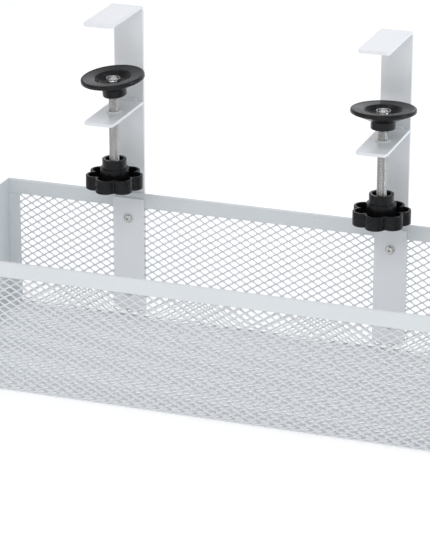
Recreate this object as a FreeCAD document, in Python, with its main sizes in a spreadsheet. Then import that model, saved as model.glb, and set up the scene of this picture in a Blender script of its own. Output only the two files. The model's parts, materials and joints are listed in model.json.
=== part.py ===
import FreeCAD
import Part
import Sketcher
import math
import os
import re

# Clamp-on cable tray for the underside of a desk.
# A trough of expanded steel mesh is closed by two sheet-metal end caps and edged by
# two folded rim rails. Two C-shaped brackets are bolted to its back wall, and each
# carries a screw clamp: a threaded screw with a knob below and a swivelling pad above.
#
# Axes: X runs along the tray, +Y points to the back wall and the brackets, +Z is up.
# The origin is the centre of the bounding box in plan, at the tray's underside.

SIZES = (
    ("tray_length", 428, "outer length over the end caps"),
    ("tray_depth", 181, "outer depth over the two rim rails"),
    ("tray_height", 105, "underside of the trough to the top of the rim"),
    ("mesh_thick", 1.8, "overall thickness of the expanded mesh"),
    ("trough_bend", 5, "outside radius of the trough's two bottom bends"),
    ("rim_height", 12, "height of the folded rim band"),
    ("rim_skin", 0.6, "sheet thickness of the folded rim band"),
    ("rim_round", 0.9, "rounding of the fold at the top of the rim"),
    ("end_thick", 1.2, "sheet thickness of an end cap"),
    ("end_flange", 10.5, "width of an end cap's return flange"),
    ("end_bend", 2, "outside radius between an end cap and its flange"),
    ("clamp_spacing", 217, "distance between the two brackets, centre to centre"),
    ("clamp_height", 259, "underside of the trough to the top of the brackets"),
    ("strip_width", 24, "width of a bracket's flat bar"),
    ("strip_thick", 2.5, "thickness of a bracket's flat bar"),
    ("strip_bottom", 3, "height of a bracket's lower end"),
    ("strip_bend", 6, "outside radius of a bracket's top bend"),
    ("plate_reach", 64, "reach of a bracket's top plate from the back wall"),
    ("corner_round", 3, "rounding of the free corners of the flat bars"),
    ("arm_height", 181.3, "height of a lower arm's top face"),
    ("arm_reach", 66, "reach of a lower arm from the back wall"),
    ("arm_thick", 2.5, "thickness of a lower arm"),
    ("weld_leg", 2.2, "leg of the weld between a lower arm and its bracket"),
    ("weld_length", 18, "length of that weld"),
    ("inner_width", 26, "width of a clamping plate inside the back wall"),
    ("inner_thick", 2, "thickness of that plate"),
    ("inner_gap_top", 4.2, "rim top to the plate's upper edge"),
    ("inner_bottom", 6, "height of the plate's lower edge"),
    ("bolt_high", 84, "height of the upper bolt"),
    ("bolt_low", 22, "height of the lower bolt"),
    ("bolt_radius", 2, "radius of a bolt's shank"),
    ("bolt_play", 0.25, "radial clearance of a bolt in its holes"),
    ("bolt_head_radius", 3.6, "radius of a bolt's button head"),
    ("bolt_head_height", 2.2, "height of a bolt's button head"),
    ("bolt_head_round", 1.54, "rounding of that head's edge"),
    ("bolt_socket", 1.3, "radius and depth of the hexagon socket in a bolt"),
    ("bolt_tip", 1.3, "length of a bolt beyond its nut"),
    ("nut_radius", 4.04, "radius over a nut's corners"),
    ("nut_height", 3.2, "height of a nut"),
    ("screw_reach", 33, "back wall to the axis of a clamp screw"),
    ("screw_radius", 3.95, "radius of a clamp screw"),
    ("screw_play", 0.05, "radial clearance of the screw in its threaded bush"),
    ("bush_radius", 5.5, "radius of the threaded bush in a lower arm"),
    ("bush_flange", 6, "radius of the bush's top flange"),
    ("bush_flange_height", 0.8, "height of that flange"),
    ("bush_drop", 5, "length of the bush below the arm"),
    ("ball_radius", 4.5, "radius of the ball end of a screw"),
    ("ball_play", 0.05, "radial clearance of the ball in its socket"),
    ("neck_radius", 2.6, "radius of the neck below the ball"),
    ("neck_drop", 8.5, "ball centre to the start of the thread"),
    ("left_rise", 23.9, "arm's top face to the left ball centre"),
    ("right_rise", 20.1, "arm's top face to the right ball centre"),
    ("left_tilt", 7, "tilt of the left pad"),
    ("left_heading", -43, "direction of the left pad's tilt axis, from +X"),
    ("right_tilt", 3, "tilt of the right pad"),
    ("right_heading", 195, "direction of the right pad's tilt axis, from +X"),
    ("ring_hole", 4, "hole radius of the loose ring around a ball"),
    ("ring_radius", 5.8, "outer radius of that ring"),
    ("ring_rise", 2.8, "ball centre to the underside of that ring"),
    ("ring_thick", 0.8, "thickness of that ring"),
    ("pad_radius", 25, "radius of a clamping pad"),
    ("pad_rise", 5.3, "ball centre to the top of a pad's rim"),
    ("pad_rim", 3.5, "height of a pad's rim"),
    ("pad_rim_round", 1.4, "rounding of a pad's rim"),
    ("pad_rim_slope", 0.4, "rise of a pad's outer edge, and inward lean of its inner edge"),
    ("pad_land", 9.2, "width of the annular face inside a pad's rim"),
    ("pad_land_fall", 1, "fall of that face towards the bowl"),
    ("bowl_slope", 3.4, "width of the bowl's sloping wall"),
    ("bowl_floor", 0.6, "ball centre to the bowl's floor"),
    ("boss_radius", 5.8, "radius of the boss around the ball"),
    ("boss_rise", 1.2, "ball centre to the top of that boss"),
    ("hub_radius", 9.5, "radius of a pad's hub"),
    ("hub_drop", 10.7, "ball centre to the underside of the hub"),
    ("hub_height", 6.1, "height of the hub's straight side"),
    ("hub_round", 1, "rounding of the hub's lower edge"),
    ("throat_radius", 3.65, "radius of the throat below the ball"),
    ("throat_drop", 3.4, "ball centre to the throat's lower end"),
    ("mouth_radius", 7.3, "radius of the hub's open underside"),
    ("knob_drop", 85.4, "ball centre to the underside of the knob"),
    ("knob_height", 11.2, "height of the knob's lobed wall"),
    ("knob_lobes", 7, "number of lobes"),
    ("lobe_centre", 14.6, "knob axis to the centre of a lobe"),
    ("lobe_radius", 8.2, "radius of a lobe"),
    ("lobe_overlap", 1, "how far the knob's middle disc runs past the lobe centres"),
    ("knob_wall", 2, "thickness of the lobed wall"),
    ("knob_floor", 2.6, "thickness of the knob's floor"),
    ("knob_round", 0.7, "rounding of the lobed wall's edges"),
    ("collar_radius", 9.6, "radius of the knob's collar"),
    ("collar_height", 23.4, "underside of the knob to the top of its collar"),
    ("collar_bore", 7, "radius of the open bore in the collar"),
    ("step_radius", 11.3, "radius of the step below the collar"),
    ("step_height", 16.2, "underside of the knob to the top of that step"),
    ("insert_radius", 7.5, "radius over the corners of the hexagonal insert"),
    ("insert_height", 7, "height of the hexagonal insert"),
    ("insert_base", 1.5, "underside of the knob to the insert and the screw's end"),
    ("left_knob_turn", 5.9, "turn of the left knob"),
    ("right_knob_turn", 12.4, "turn of the right knob"),
)

DOC = FreeCAD.newDocument("cable_tray")
SHEET = DOC.addObject("Spreadsheet::Sheet", "Sizes")
for row, (alias, value, meaning) in enumerate(SIZES, start=1):
    SHEET.set(f"A{row}", alias)
    SHEET.set(f"B{row}", str(value))
    SHEET.setAlias(f"B{row}", alias)
    SHEET.set(f"C{row}", meaning)
DOC.recompute()
ALIASES = {alias for alias, value, meaning in SIZES}

# The tray's mid-plane lies forward of the origin by half of what stands behind the wall.
TRAY_Y = "(-(strip_thick + nut_height + bolt_tip) / 2)"
# Rear face of the back rim rail, against which the brackets lie.
BACK_Y = f"({TRAY_Y} + tray_depth / 2)"
SCREW_Y = f"({BACK_Y} - screw_reach)"
# Thickness of a rim rail: two skins with the mesh between them.
RIM_THICK = "(2 * rim_skin + mesh_thick)"
SIDES = (("left", -1), ("right", 1))


def size(alias):
    """Value of a size, in millimetres or degrees."""
    return float(SHEET.get(alias))


def linked(text):
    """Expression text with each size turned into its spreadsheet reference."""
    return re.sub(r"[a-z_]+", lambda word: f"Sizes.{word[0]}" if word[0] in ALIASES else word[0], text)


def bind(thing, **links):
    """Ties properties to expressions; a double underscore stands for a dot."""
    for name, text in links.items():
        thing.setExpression(name.replace("__", "."), linked(str(text)))


def place(thing, x="0", y="0", z="0"):
    """Ties an object's position to three expressions."""
    bind(thing, Placement__Base__x=x, Placement__Base__y=y, Placement__Base__z=z)


def new_body(label):
    body = DOC.addObject("PartDesign::Body", label)
    body.Label = label
    return body


def new_sketch(body, plane, offset="0"):
    """Sketch on one of the body's own origin planes, raised along its normal."""
    origin_plane = [item for item in body.Origin.OriginFeatures if item.Role == plane][0]
    sketch = body.newObject("Sketcher::SketchObject", "sketch")
    sketch.AttachmentSupport = [(origin_plane, "")]
    sketch.MapMode = "FlatFace"
    bind(sketch, AttachmentOffset__Base__z=offset)
    return sketch


def fix_point(sketch, element, point, x, y):
    """Holds one point of a sketch element at expressions measured from the origin."""
    here = sketch.getPoint(element, point)
    for kind, value, text in (("DistanceX", here.x, x), ("DistanceY", here.y, y)):
        index = sketch.addConstraint(Sketcher.Constraint(kind, -1, 1, element, point, value))
        sketch.setExpression(f"Constraints[{index}]", linked(text))


def polygon(sketch, corners):
    """Closed ring of straight lines through corners given as pairs of expressions."""
    count = len(corners)
    first = sketch.GeometryCount
    turns = [2 * math.pi * index / count for index in range(count)]
    rough = [FreeCAD.Vector(10 * math.cos(turn), 10 * math.sin(turn), 0) for turn in turns]
    for index in range(count):
        sketch.addGeometry(Part.LineSegment(rough[index], rough[(index + 1) % count]))
    for index in range(count):
        sketch.addConstraint(
            Sketcher.Constraint("Coincident", first + index, 2, first + (index + 1) % count, 1)
        )
    for index, (x, y) in enumerate(corners):
        fix_point(sketch, first + index, 1, x, y)


def rectangle(sketch, x_low, x_high, y_low, y_high):
    polygon(sketch, [(x_low, y_low), (x_high, y_low), (x_high, y_high), (x_low, y_high)])


def circle(sketch, radius, x="0", y="0"):
    element = sketch.addGeometry(
        Part.Circle(FreeCAD.Vector(1, 1, 0), FreeCAD.Vector(0, 0, 1), 3)
    )
    fix_point(sketch, element, 3, x, y)
    index = sketch.addConstraint(Sketcher.Constraint("Radius", element, 3))
    sketch.setExpression(f"Constraints[{index}]", linked(radius))


def pad(body, sketch, length, both_ways=False, reverse=False):
    feature = body.newObject("PartDesign::Pad", "pad")
    feature.Profile = sketch
    feature.SideType = "Symmetric" if both_ways else "One side"
    feature.Reversed = reverse
    bind(feature, Length=length)
    return feature


def pocket(body, sketch, length=None, reverse=False):
    """Cut to a depth on one side of the sketch, or right through on both sides."""
    feature = body.newObject("PartDesign::Pocket", "pocket")
    feature.Profile = sketch
    feature.Reversed = reverse
    if length is None:
        feature.SideType = "Symmetric"
        feature.Type = "ThroughAll"
    else:
        bind(feature, Length=length)
    return feature


def revolve(body, sketch):
    """Full turn of a half section drawn on the XZ plane about the vertical axis."""
    feature = body.newObject("PartDesign::Revolution", "revolution")
    feature.Profile = sketch
    feature.ReferenceAxis = (sketch, ["V_Axis"])
    feature.Angle = 360
    return feature


def polar(body, feature, count):
    pattern = body.newObject("PartDesign::PolarPattern", "pattern")
    pattern.Originals = [feature]
    pattern.Axis = (feature.Profile[0], ["N_Axis"])
    pattern.Angle = 360
    bind(pattern, Occurrences=count)
    body.Tip = pattern
    return pattern


def fillet(body, radius, wanted):
    """Rounds the edges of the body whose middle point passes the test wanted(point, edge)."""
    DOC.recompute()
    base = body.Tip
    names = []
    for number, edge in enumerate(base.Shape.Edges, start=1):
        middle = edge.valueAt((edge.FirstParameter + edge.LastParameter) / 2)
        if wanted(middle, edge):
            names.append(f"Edge{number}")
    if not names:
        raise RuntimeError(f"{body.Label}: no edge found to round")
    feature = body.newObject("PartDesign::Fillet", "fillet")
    feature.Base = (base, names)
    bind(feature, Radius=radius)
    DOC.recompute()
    return feature


def near(value, target):
    return abs(value - target) < 0.01


def along_x(edge):
    return edge.Curve.TypeId == "Part::GeomLine" and near(abs(edge.Curve.Direction.x), 1)


def along_z(edge):
    return edge.Curve.TypeId == "Part::GeomLine" and near(abs(edge.Curve.Direction.z), 1)


def is_ring(edge, radius):
    return edge.Curve.TypeId == "Part::GeomCircle" and near(edge.Curve.Radius, radius)


def cylinder(label, radius, height):
    shape = DOC.addObject("Part::Cylinder", label)
    bind(shape, Radius=radius, Height=height)
    return shape


def hexagon(label, radius, height):
    shape = DOC.addObject("Part::Prism", label)
    shape.Polygon = 6
    bind(shape, Circumradius=radius, Height=height)
    return shape


def cut(label, base, tool):
    result = DOC.addObject("Part::Cut", label)
    result.Base = base
    result.Tool = tool
    result.Label = label
    return result


def group(label, members):
    """Several separate solids that share one node."""
    result = DOC.addObject("Part::Compound", label)
    result.Links = members
    result.Label = label
    return result


def side_x(sign):
    return f"{sign} * clamp_spacing / 2"


# --- The tray -------------------------------------------------------------------

def make_mesh_trough():
    """Plain sheet of the mesh's outer size, bent to a U; its openings aren't cut."""
    body = new_body("mesh_trough")
    outer = new_sketch(body, "YZ_Plane")
    rectangle(outer, "-tray_depth / 2 + rim_skin", "tray_depth / 2 - rim_skin",
              "0", "tray_height - rim_skin")
    pad(body, outer, "tray_length", both_ways=True)
    inner = new_sketch(body, "YZ_Plane")
    rectangle(inner, "-tray_depth / 2 + rim_skin + mesh_thick", "tray_depth / 2 - rim_skin - mesh_thick",
              "mesh_thick", "tray_height")
    pocket(body, inner)
    mesh = size("mesh_thick")
    wall = size("tray_depth") / 2 - size("rim_skin") - mesh
    fillet(body, "trough_bend - mesh_thick",
           lambda middle, edge: along_x(edge) and near(middle.z, mesh) and near(abs(middle.y), wall))
    outside = wall + mesh
    fillet(body, "trough_bend",
           lambda middle, edge: along_x(edge) and near(middle.z, 0) and near(abs(middle.y), outside))
    holes = new_sketch(body, "XZ_Plane")
    for side, sign in SIDES:
        for height in ("bolt_low", "bolt_high"):
            circle(holes, "bolt_radius + bolt_play", x=side_x(sign), y=height)
    pocket(body, holes, "tray_depth / 2")
    place(body, y=TRAY_Y)
    return body


def make_rim_rail(label, sign):
    """Band folded over the mesh's top edge: an upside-down U with the mesh in its slot."""
    body = new_body(label)
    section = new_sketch(body, "YZ_Plane")
    outer = f"{sign} * tray_depth / 2"
    inner = f"{sign} * (tray_depth / 2 - {RIM_THICK})"
    slot_outer = f"{sign} * (tray_depth / 2 - rim_skin)"
    slot_inner = f"{sign} * (tray_depth / 2 - rim_skin - mesh_thick)"
    foot = "tray_height - rim_height"
    slot_top = "tray_height - rim_skin"
    polygon(section, [
        (outer, foot), (outer, "tray_height"), (inner, "tray_height"), (inner, foot),
        (slot_inner, foot), (slot_inner, slot_top), (slot_outer, slot_top), (slot_outer, foot),
    ])
    pad(body, section, "tray_length", both_ways=True)
    top = size("tray_height")
    fillet(body, "rim_round", lambda middle, edge: along_x(edge) and near(middle.z, top))
    place(body, y=TRAY_Y)
    return body


def make_end_cap(label, turn):
    """Flat end plate with a flange turned inwards along the front, bottom and back."""
    body = new_body(label)
    skin_y = "(tray_depth / 2 - rim_skin - mesh_thick)"
    rail_y = f"(tray_depth / 2 - {RIM_THICK})"
    foot = "tray_height - rim_height"
    face = new_sketch(body, "YZ_Plane", offset="tray_length / 2")
    polygon(face, [
        (f"-{skin_y}", "mesh_thick"), (skin_y, "mesh_thick"), (skin_y, foot), (rail_y, foot),
        (rail_y, "tray_height"), (f"-{rail_y}", "tray_height"), (f"-{rail_y}", foot), (f"-{skin_y}", foot),
    ])
    pad(body, face, "end_thick", reverse=True)
    rim = new_sketch(body, "YZ_Plane", offset="tray_length / 2")
    inside_y = f"({skin_y} - end_thick)"
    floor = "mesh_thick + end_thick"
    polygon(rim, [
        (f"-{skin_y}", "mesh_thick"), (skin_y, "mesh_thick"), (skin_y, foot), (inside_y, foot),
        (inside_y, floor), (f"-{inside_y}", floor), (f"-{inside_y}", foot), (f"-{skin_y}", foot),
    ])
    pad(body, rim, "end_flange", reverse=True)
    outer = size("tray_depth") / 2 - size("rim_skin") - size("mesh_thick")
    inner = outer - size("end_thick")
    low = size("mesh_thick")
    fillet(body, "trough_bend - mesh_thick - end_thick",
           lambda middle, edge: along_x(edge) and near(middle.z, low + size("end_thick"))
           and near(abs(middle.y), inner))
    fillet(body, "trough_bend - mesh_thick",
           lambda middle, edge: along_x(edge) and near(middle.z, low) and near(abs(middle.y), outer))
    end = size("tray_length") / 2
    rim_foot = size("tray_height") - size("rim_height")
    fillet(body, "end_bend", lambda middle, edge: near(middle.x, end) and middle.z < rim_foot - 1)
    body.Placement = FreeCAD.Placement(
        FreeCAD.Vector(0, 0, 0), FreeCAD.Rotation(FreeCAD.Vector(0, 0, 1), turn)
    )
    place(body, y=TRAY_Y)
    return body


# --- The brackets ---------------------------------------------------------------

def drill_bolt_holes(body):
    """Two holes on the middle line, through a plate drawn against the XZ plane."""
    holes = new_sketch(body, "XZ_Plane")
    for height in ("bolt_low", "bolt_high"):
        circle(holes, "bolt_radius + bolt_play", y=height)
    pocket(body, holes)


def make_bracket(side, sign):
    """Flat bar behind the back wall, bent forwards at the top over the desk's surface."""
    body = new_body(f"{side}_bracket")
    section = new_sketch(body, "YZ_Plane")
    polygon(section, [
        ("strip_thick", "strip_bottom"), ("strip_thick", "clamp_height"),
        ("-plate_reach", "clamp_height"), ("-plate_reach", "clamp_height - strip_thick"),
        ("0", "clamp_height - strip_thick"), ("0", "strip_bottom"),
    ])
    pad(body, section, "strip_width", both_ways=True)
    top = size("clamp_height")
    thick = size("strip_thick")
    fillet(body, "strip_bend",
           lambda middle, edge: along_x(edge) and near(middle.z, top) and near(middle.y, thick))
    fillet(body, "strip_bend - strip_thick",
           lambda middle, edge: along_x(edge) and near(middle.z, top - thick) and near(middle.y, 0))
    reach = size("plate_reach")
    fillet(body, "corner_round", lambda middle, edge: along_z(edge) and near(middle.y, -reach))
    bottom = size("strip_bottom")
    fillet(body, "corner_round",
           lambda middle, edge: near(middle.z, bottom) and near(abs(middle.x), size("strip_width") / 2))
    drill_bolt_holes(body)
    place(body, x=side_x(sign), y=BACK_Y)
    return body


def make_lower_arm(side, sign):
    """Flat bar that stands out from the bracket and carries the threaded bush."""
    body = new_body(f"{side}_lower_arm")
    outline = new_sketch(body, "XY_Plane")
    rectangle(outline, "-strip_width / 2", "strip_width / 2", "-arm_reach", "0")
    pad(body, outline, "arm_thick", reverse=True)
    reach = size("arm_reach")
    fillet(body, "corner_round", lambda middle, edge: along_z(edge) and near(middle.y, -reach))
    hole = new_sketch(body, "XY_Plane")
    circle(hole, "bush_radius", y="-screw_reach")
    pocket(body, hole)
    place(body, x=side_x(sign), y=BACK_Y, z="arm_height")
    return body


def make_weld(side, sign):
    """Quarter-round fillet weld in the corner between the lower arm and the bracket."""
    bead = DOC.addObject("Part::Cylinder", f"{side}_weld")
    bead.Label = f"{side}_weld"
    bead.Angle = 90
    bind(bead, Radius="weld_leg", Height="weld_length")
    turned = FreeCAD.Rotation(
        FreeCAD.Vector(0, 0, 1), FreeCAD.Vector(0, -1, 0), FreeCAD.Vector(1, 0, 0), "ZXY"
    )
    bead.Placement = FreeCAD.Placement(FreeCAD.Vector(0, 0, 0), turned)
    place(bead, x=f"{side_x(sign)} - strip_width / 2 + weld_leg / 2", y=BACK_Y, z="arm_height")
    return bead


def make_bush(side, sign):
    """Threaded bush pressed into the arm, its flange on the arm's top face."""
    body = new_body(f"{side}_threaded_bush")
    section = new_sketch(body, "XZ_Plane")
    bore = "screw_radius + screw_play"
    foot = "-(arm_thick + bush_drop)"
    polygon(section, [
        (bore, foot), ("bush_radius", foot), ("bush_radius", "0"), ("bush_flange", "0"),
        ("bush_flange", "bush_flange_height"), (bore, "bush_flange_height"),
    ])
    revolve(body, section)
    place(body, x=side_x(sign), y=SCREW_Y, z="arm_height")
    return body


def make_inner_plate(side, sign):
    """Plate inside the back wall that spreads the bolts' grip."""
    body = new_body(f"{side}_inner_plate")
    outline = new_sketch(body, "XZ_Plane")
    rectangle(outline, "-inner_width / 2", "inner_width / 2", "inner_bottom", "tray_height - inner_gap_top")
    pad(body, outline, "inner_thick")
    drill_bolt_holes(body)
    place(body, x=side_x(sign), y=f"{BACK_Y} - {RIM_THICK}")
    return body


def make_bolt(label, x, z):
    """Button-head bolt lying along Y, head inside the tray, with a hexagon socket."""
    body = new_body(label)
    section = new_sketch(body, "XZ_Plane")
    tip = f"{RIM_THICK} + inner_thick + strip_thick + nut_height + bolt_tip"
    polygon(section, [
        ("0", "-bolt_head_height"), ("bolt_head_radius", "-bolt_head_height"), ("bolt_head_radius", "0"),
        ("bolt_radius", "0"), ("bolt_radius", tip), ("0", tip),
    ])
    revolve(body, section)
    head_top = -size("bolt_head_height")
    fillet(body, "bolt_head_round",
           lambda middle, edge: is_ring(edge, size("bolt_head_radius")) and near(middle.z, head_top))
    socket = new_sketch(body, "XY_Plane", offset="-bolt_head_height")
    corners = [(f"bolt_socket * {math.cos(math.radians(60 * k)):.6f}",
                f"bolt_socket * {math.sin(math.radians(60 * k)):.6f}") for k in range(6)]
    polygon(socket, corners)
    pocket(body, socket, "bolt_socket", reverse=True)
    body.Placement = FreeCAD.Placement(
        FreeCAD.Vector(0, 0, 0), FreeCAD.Rotation(FreeCAD.Vector(1, 0, 0), -90)
    )
    place(body, x=x, y=f"{BACK_Y} - {RIM_THICK} - inner_thick", z=z)
    return body


def make_nut(label, x, z):
    """Hexagon nut on the bracket's rear face."""
    blank = hexagon(f"{label}_blank", "nut_radius", "nut_height")
    hole = cylinder(f"{label}_hole", "bolt_radius", "nut_height")
    nut = cut(label, blank, hole)
    nut.Placement = FreeCAD.Placement(
        FreeCAD.Vector(0, 0, 0), FreeCAD.Rotation(FreeCAD.Vector(1, 0, 0), -90)
    )
    place(nut, x=x, y=f"{BACK_Y} + strip_thick", z=z)
    return nut


def make_fasteners():
    bolts = []
    nuts = []
    for side, sign in SIDES:
        for level in ("high", "low"):
            bolts.append(make_bolt(f"bolt_{side}_{level}", side_x(sign), f"bolt_{level}"))
            nuts.append(make_nut(f"nut_{side}_{level}", side_x(sign), f"bolt_{level}"))
    return [group("bracket_bolts", bolts), group("bracket_nuts", nuts)]


# --- The clamps -----------------------------------------------------------------

def make_screw(side, sign):
    """Clamp screw: a rod, a thinner neck and a ball on top, fused to one piece."""
    pivot_z = f"arm_height + {side}_rise"
    rod = cylinder(f"{side}_rod", "screw_radius", "knob_drop - insert_base - neck_drop")
    place(rod, z="-knob_drop + insert_base")
    neck = cylinder(f"{side}_neck", "neck_radius", "neck_drop + ball_play")
    place(neck, z="-neck_drop - ball_play")
    ball = DOC.addObject("Part::Sphere", f"{side}_ball")
    bind(ball, Radius="ball_radius")
    screw = DOC.addObject("Part::MultiFuse", f"{side}_clamp_screw")
    screw.Shapes = [rod, neck, ball]
    screw.Label = f"{side}_clamp_screw"
    place(screw, x=side_x(sign), y=SCREW_Y, z=pivot_z)
    return screw


def make_ring(side, sign):
    """Loose ring around the ball's top, above the boss of the pad."""
    outer = cylinder(f"{side}_ring_blank", "ring_radius", "ring_thick")
    inner = cylinder(f"{side}_ring_hole", "ring_hole", "ring_thick")
    ring = cut(f"{side}_retaining_ring", outer, inner)
    place(ring, x=side_x(sign), y=SCREW_Y, z=f"arm_height + {side}_rise + ring_rise")
    return ring


def make_pad(side, sign):
    """Dished clamping pad with a hub below, hollowed for the ball and the screw's neck."""
    body = new_body(f"{side}_pad_blank")
    section = new_sketch(body, "XZ_Plane")
    land_end = "pad_radius - pad_rim_round - pad_land"
    floor_end = f"{land_end} - bowl_slope"
    polygon(section, [
        ("mouth_radius", "-hub_drop"), ("hub_radius", "-hub_drop"),
        ("hub_radius", "-hub_drop + hub_height"),
        ("pad_radius - pad_rim_round", "pad_rise - pad_rim"),
        ("pad_radius", "pad_rise - pad_rim + pad_rim_slope"),
        ("pad_radius", "pad_rise"), ("pad_radius - pad_rim_round - pad_rim_slope", "pad_rise"),
        (land_end, "pad_rise - pad_land_fall"), (floor_end, "bowl_floor"),
        ("boss_radius", "bowl_floor"), ("boss_radius", "boss_rise"),
        ("throat_radius", "boss_rise"), ("throat_radius", "-throat_drop"),
    ])
    revolve(body, section)
    fillet(body, "pad_rim_round",
           lambda middle, edge: is_ring(edge, size("pad_radius")) and near(middle.z, size("pad_rise")))
    fillet(body, "hub_round",
           lambda middle, edge: is_ring(edge, size("hub_radius")) and near(middle.z, -size("hub_drop")))
    socket = DOC.addObject("Part::Sphere", f"{side}_socket")
    bind(socket, Radius="ball_radius + ball_play")
    dish = cut(f"{side}_pad", body, socket)
    heading = math.radians(size(f"{side}_heading"))
    axis = FreeCAD.Vector(math.cos(heading), math.sin(heading), 0)
    dish.Placement = FreeCAD.Placement(
        FreeCAD.Vector(0, 0, 0), FreeCAD.Rotation(axis, size(f"{side}_tilt"))
    )
    place(dish, x=side_x(sign), y=SCREW_Y, z=f"arm_height + {side}_rise")
    return dish


def make_knob(side, sign):
    """Lobed hand knob, hollow on top, with a tall open collar around the screw."""
    body = new_body(f"{side}_knob")
    base = new_sketch(body, "XY_Plane")
    circle(base, "lobe_centre")
    pad(body, base, "knob_height")
    lobe = new_sketch(body, "XY_Plane")
    circle(lobe, "lobe_radius", x="lobe_centre")
    polar(body, pad(body, lobe, "knob_height"), "knob_lobes")
    hollow_depth = "knob_height - knob_floor"
    middle = new_sketch(body, "XY_Plane", offset="knob_height")
    circle(middle, "lobe_centre + lobe_overlap")
    pocket(body, middle, hollow_depth)
    bay = new_sketch(body, "XY_Plane", offset="knob_height")
    circle(bay, "lobe_radius - knob_wall", x="lobe_centre")
    polar(body, pocket(body, bay, hollow_depth), "knob_lobes")
    step = new_sketch(body, "XY_Plane")
    circle(step, "step_radius")
    pad(body, step, "step_height")
    collar = new_sketch(body, "XY_Plane")
    circle(collar, "collar_radius")
    pad(body, collar, "collar_height")
    bore = new_sketch(body, "XY_Plane", offset="collar_height")
    circle(bore, "collar_bore")
    pocket(body, bore, "collar_height - insert_base - insert_height")
    seat = new_sketch(body, "XY_Plane", offset="insert_base + insert_height")
    corners = [(f"insert_radius * {math.cos(math.radians(60 * k)):.6f}",
                f"insert_radius * {math.sin(math.radians(60 * k)):.6f}") for k in range(6)]
    polygon(seat, corners)
    pocket(body, seat, "insert_height")
    fillet(body, "knob_round", lambda point, edge: near(point.z, 0))
    turn = size(f"{side}_knob_turn")
    body.Placement = FreeCAD.Placement(
        FreeCAD.Vector(0, 0, 0), FreeCAD.Rotation(FreeCAD.Vector(0, 0, 1), turn)
    )
    place(body, x=side_x(sign), y=SCREW_Y, z=f"arm_height + {side}_rise - knob_drop")
    return body


def make_insert(side, sign):
    """Hexagonal steel insert that holds the screw's lower end in the knob."""
    blank = hexagon(f"{side}_insert_blank", "insert_radius", "insert_height")
    hole = cylinder(f"{side}_insert_hole", "screw_radius", "insert_height")
    insert = cut(f"{side}_knob_insert", blank, hole)
    turn = size(f"{side}_knob_turn")
    insert.Placement = FreeCAD.Placement(
        FreeCAD.Vector(0, 0, 0), FreeCAD.Rotation(FreeCAD.Vector(0, 0, 1), turn)
    )
    place(insert, x=side_x(sign), y=SCREW_Y, z=f"arm_height + {side}_rise - knob_drop + insert_base")
    return insert


# --- The whole model ------------------------------------------------------------

def make_model():
    parts = [
        make_mesh_trough(),
        make_rim_rail("front_rim_rail", -1),
        make_rim_rail("back_rim_rail", 1),
        make_end_cap("left_end_cap", 180),
        make_end_cap("right_end_cap", 0),
    ]
    makers = (make_bracket, make_lower_arm, make_weld, make_bush, make_inner_plate,
              make_screw, make_ring, make_pad, make_knob, make_insert)
    for side, sign in SIDES:
        parts.extend(make(side, sign) for make in makers)
    parts.extend(make_fasteners())
    return parts


def check(parts):
    """Stops if any object failed or any sub-part is empty or not valid."""
    for thing in DOC.Objects:
        if "Invalid" in thing.State or "Error" in thing.State:
            raise RuntimeError(f"{thing.Label}: {thing.State}")
    for part in parts:
        if part.Shape.isNull() or not part.Shape.isValid():
            raise RuntimeError(f"{part.Label}: the shape is empty or not valid")


MODEL = make_model()
DOC.recompute()
check(MODEL)
os.makedirs("parts", exist_ok=True)
for part in MODEL:
    part.Shape.exportStep(f"parts/{part.Label}.step")
    print(part.Label, len(part.Shape.Solids), round(part.Shape.Volume), part.Shape.BoundBox)
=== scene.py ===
import json
import math

import bmesh
import bpy
import numpy as np
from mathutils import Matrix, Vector


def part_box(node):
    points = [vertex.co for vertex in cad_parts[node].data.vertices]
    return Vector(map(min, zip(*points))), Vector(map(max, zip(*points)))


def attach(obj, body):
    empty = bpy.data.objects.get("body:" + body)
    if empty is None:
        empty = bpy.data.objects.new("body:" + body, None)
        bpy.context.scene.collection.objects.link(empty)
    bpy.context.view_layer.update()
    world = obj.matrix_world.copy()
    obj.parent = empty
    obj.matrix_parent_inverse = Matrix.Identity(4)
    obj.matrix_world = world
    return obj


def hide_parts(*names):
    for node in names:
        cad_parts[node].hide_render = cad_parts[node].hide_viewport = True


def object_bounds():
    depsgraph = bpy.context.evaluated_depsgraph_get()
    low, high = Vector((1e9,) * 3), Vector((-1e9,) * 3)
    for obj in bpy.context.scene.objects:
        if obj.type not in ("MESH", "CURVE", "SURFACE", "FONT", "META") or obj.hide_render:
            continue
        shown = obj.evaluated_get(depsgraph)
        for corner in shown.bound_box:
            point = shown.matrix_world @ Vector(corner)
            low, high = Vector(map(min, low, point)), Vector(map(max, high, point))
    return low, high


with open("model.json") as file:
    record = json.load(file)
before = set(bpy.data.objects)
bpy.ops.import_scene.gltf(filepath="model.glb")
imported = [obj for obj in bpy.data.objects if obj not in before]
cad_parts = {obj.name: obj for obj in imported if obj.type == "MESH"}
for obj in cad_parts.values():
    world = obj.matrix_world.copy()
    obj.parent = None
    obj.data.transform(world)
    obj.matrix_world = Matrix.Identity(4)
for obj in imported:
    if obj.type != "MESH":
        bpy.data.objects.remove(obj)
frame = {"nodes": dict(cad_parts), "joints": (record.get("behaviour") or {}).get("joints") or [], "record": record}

bl_info = {
    "name": "Clamp-on Cable Tray",
    "version": (1, 0, 0),
    "blender": (4, 5, 0),
    "location": "3D View > Sidebar > Cable Tray",
    "description": "Builds a mesh cable tray with two screw clamps, its finishes and its studio",
    "category": "Add Mesh",
}

CAD_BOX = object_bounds()
SIDES = ("left", "right")
PIVOTS = {joint["name"]: Vector(joint["pos_m"]) for joint in frame["joints"] if "pos_m" in joint}
AXES = {joint["name"]: Vector(joint["axis"]) for joint in frame["joints"]}


# --- Sizes and colours that a user may change -------------------------------------

def length(name, description, default):
    return bpy.props.FloatProperty(
        name=name, description=description, default=default, precision=5, unit="LENGTH"
    )


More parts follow.
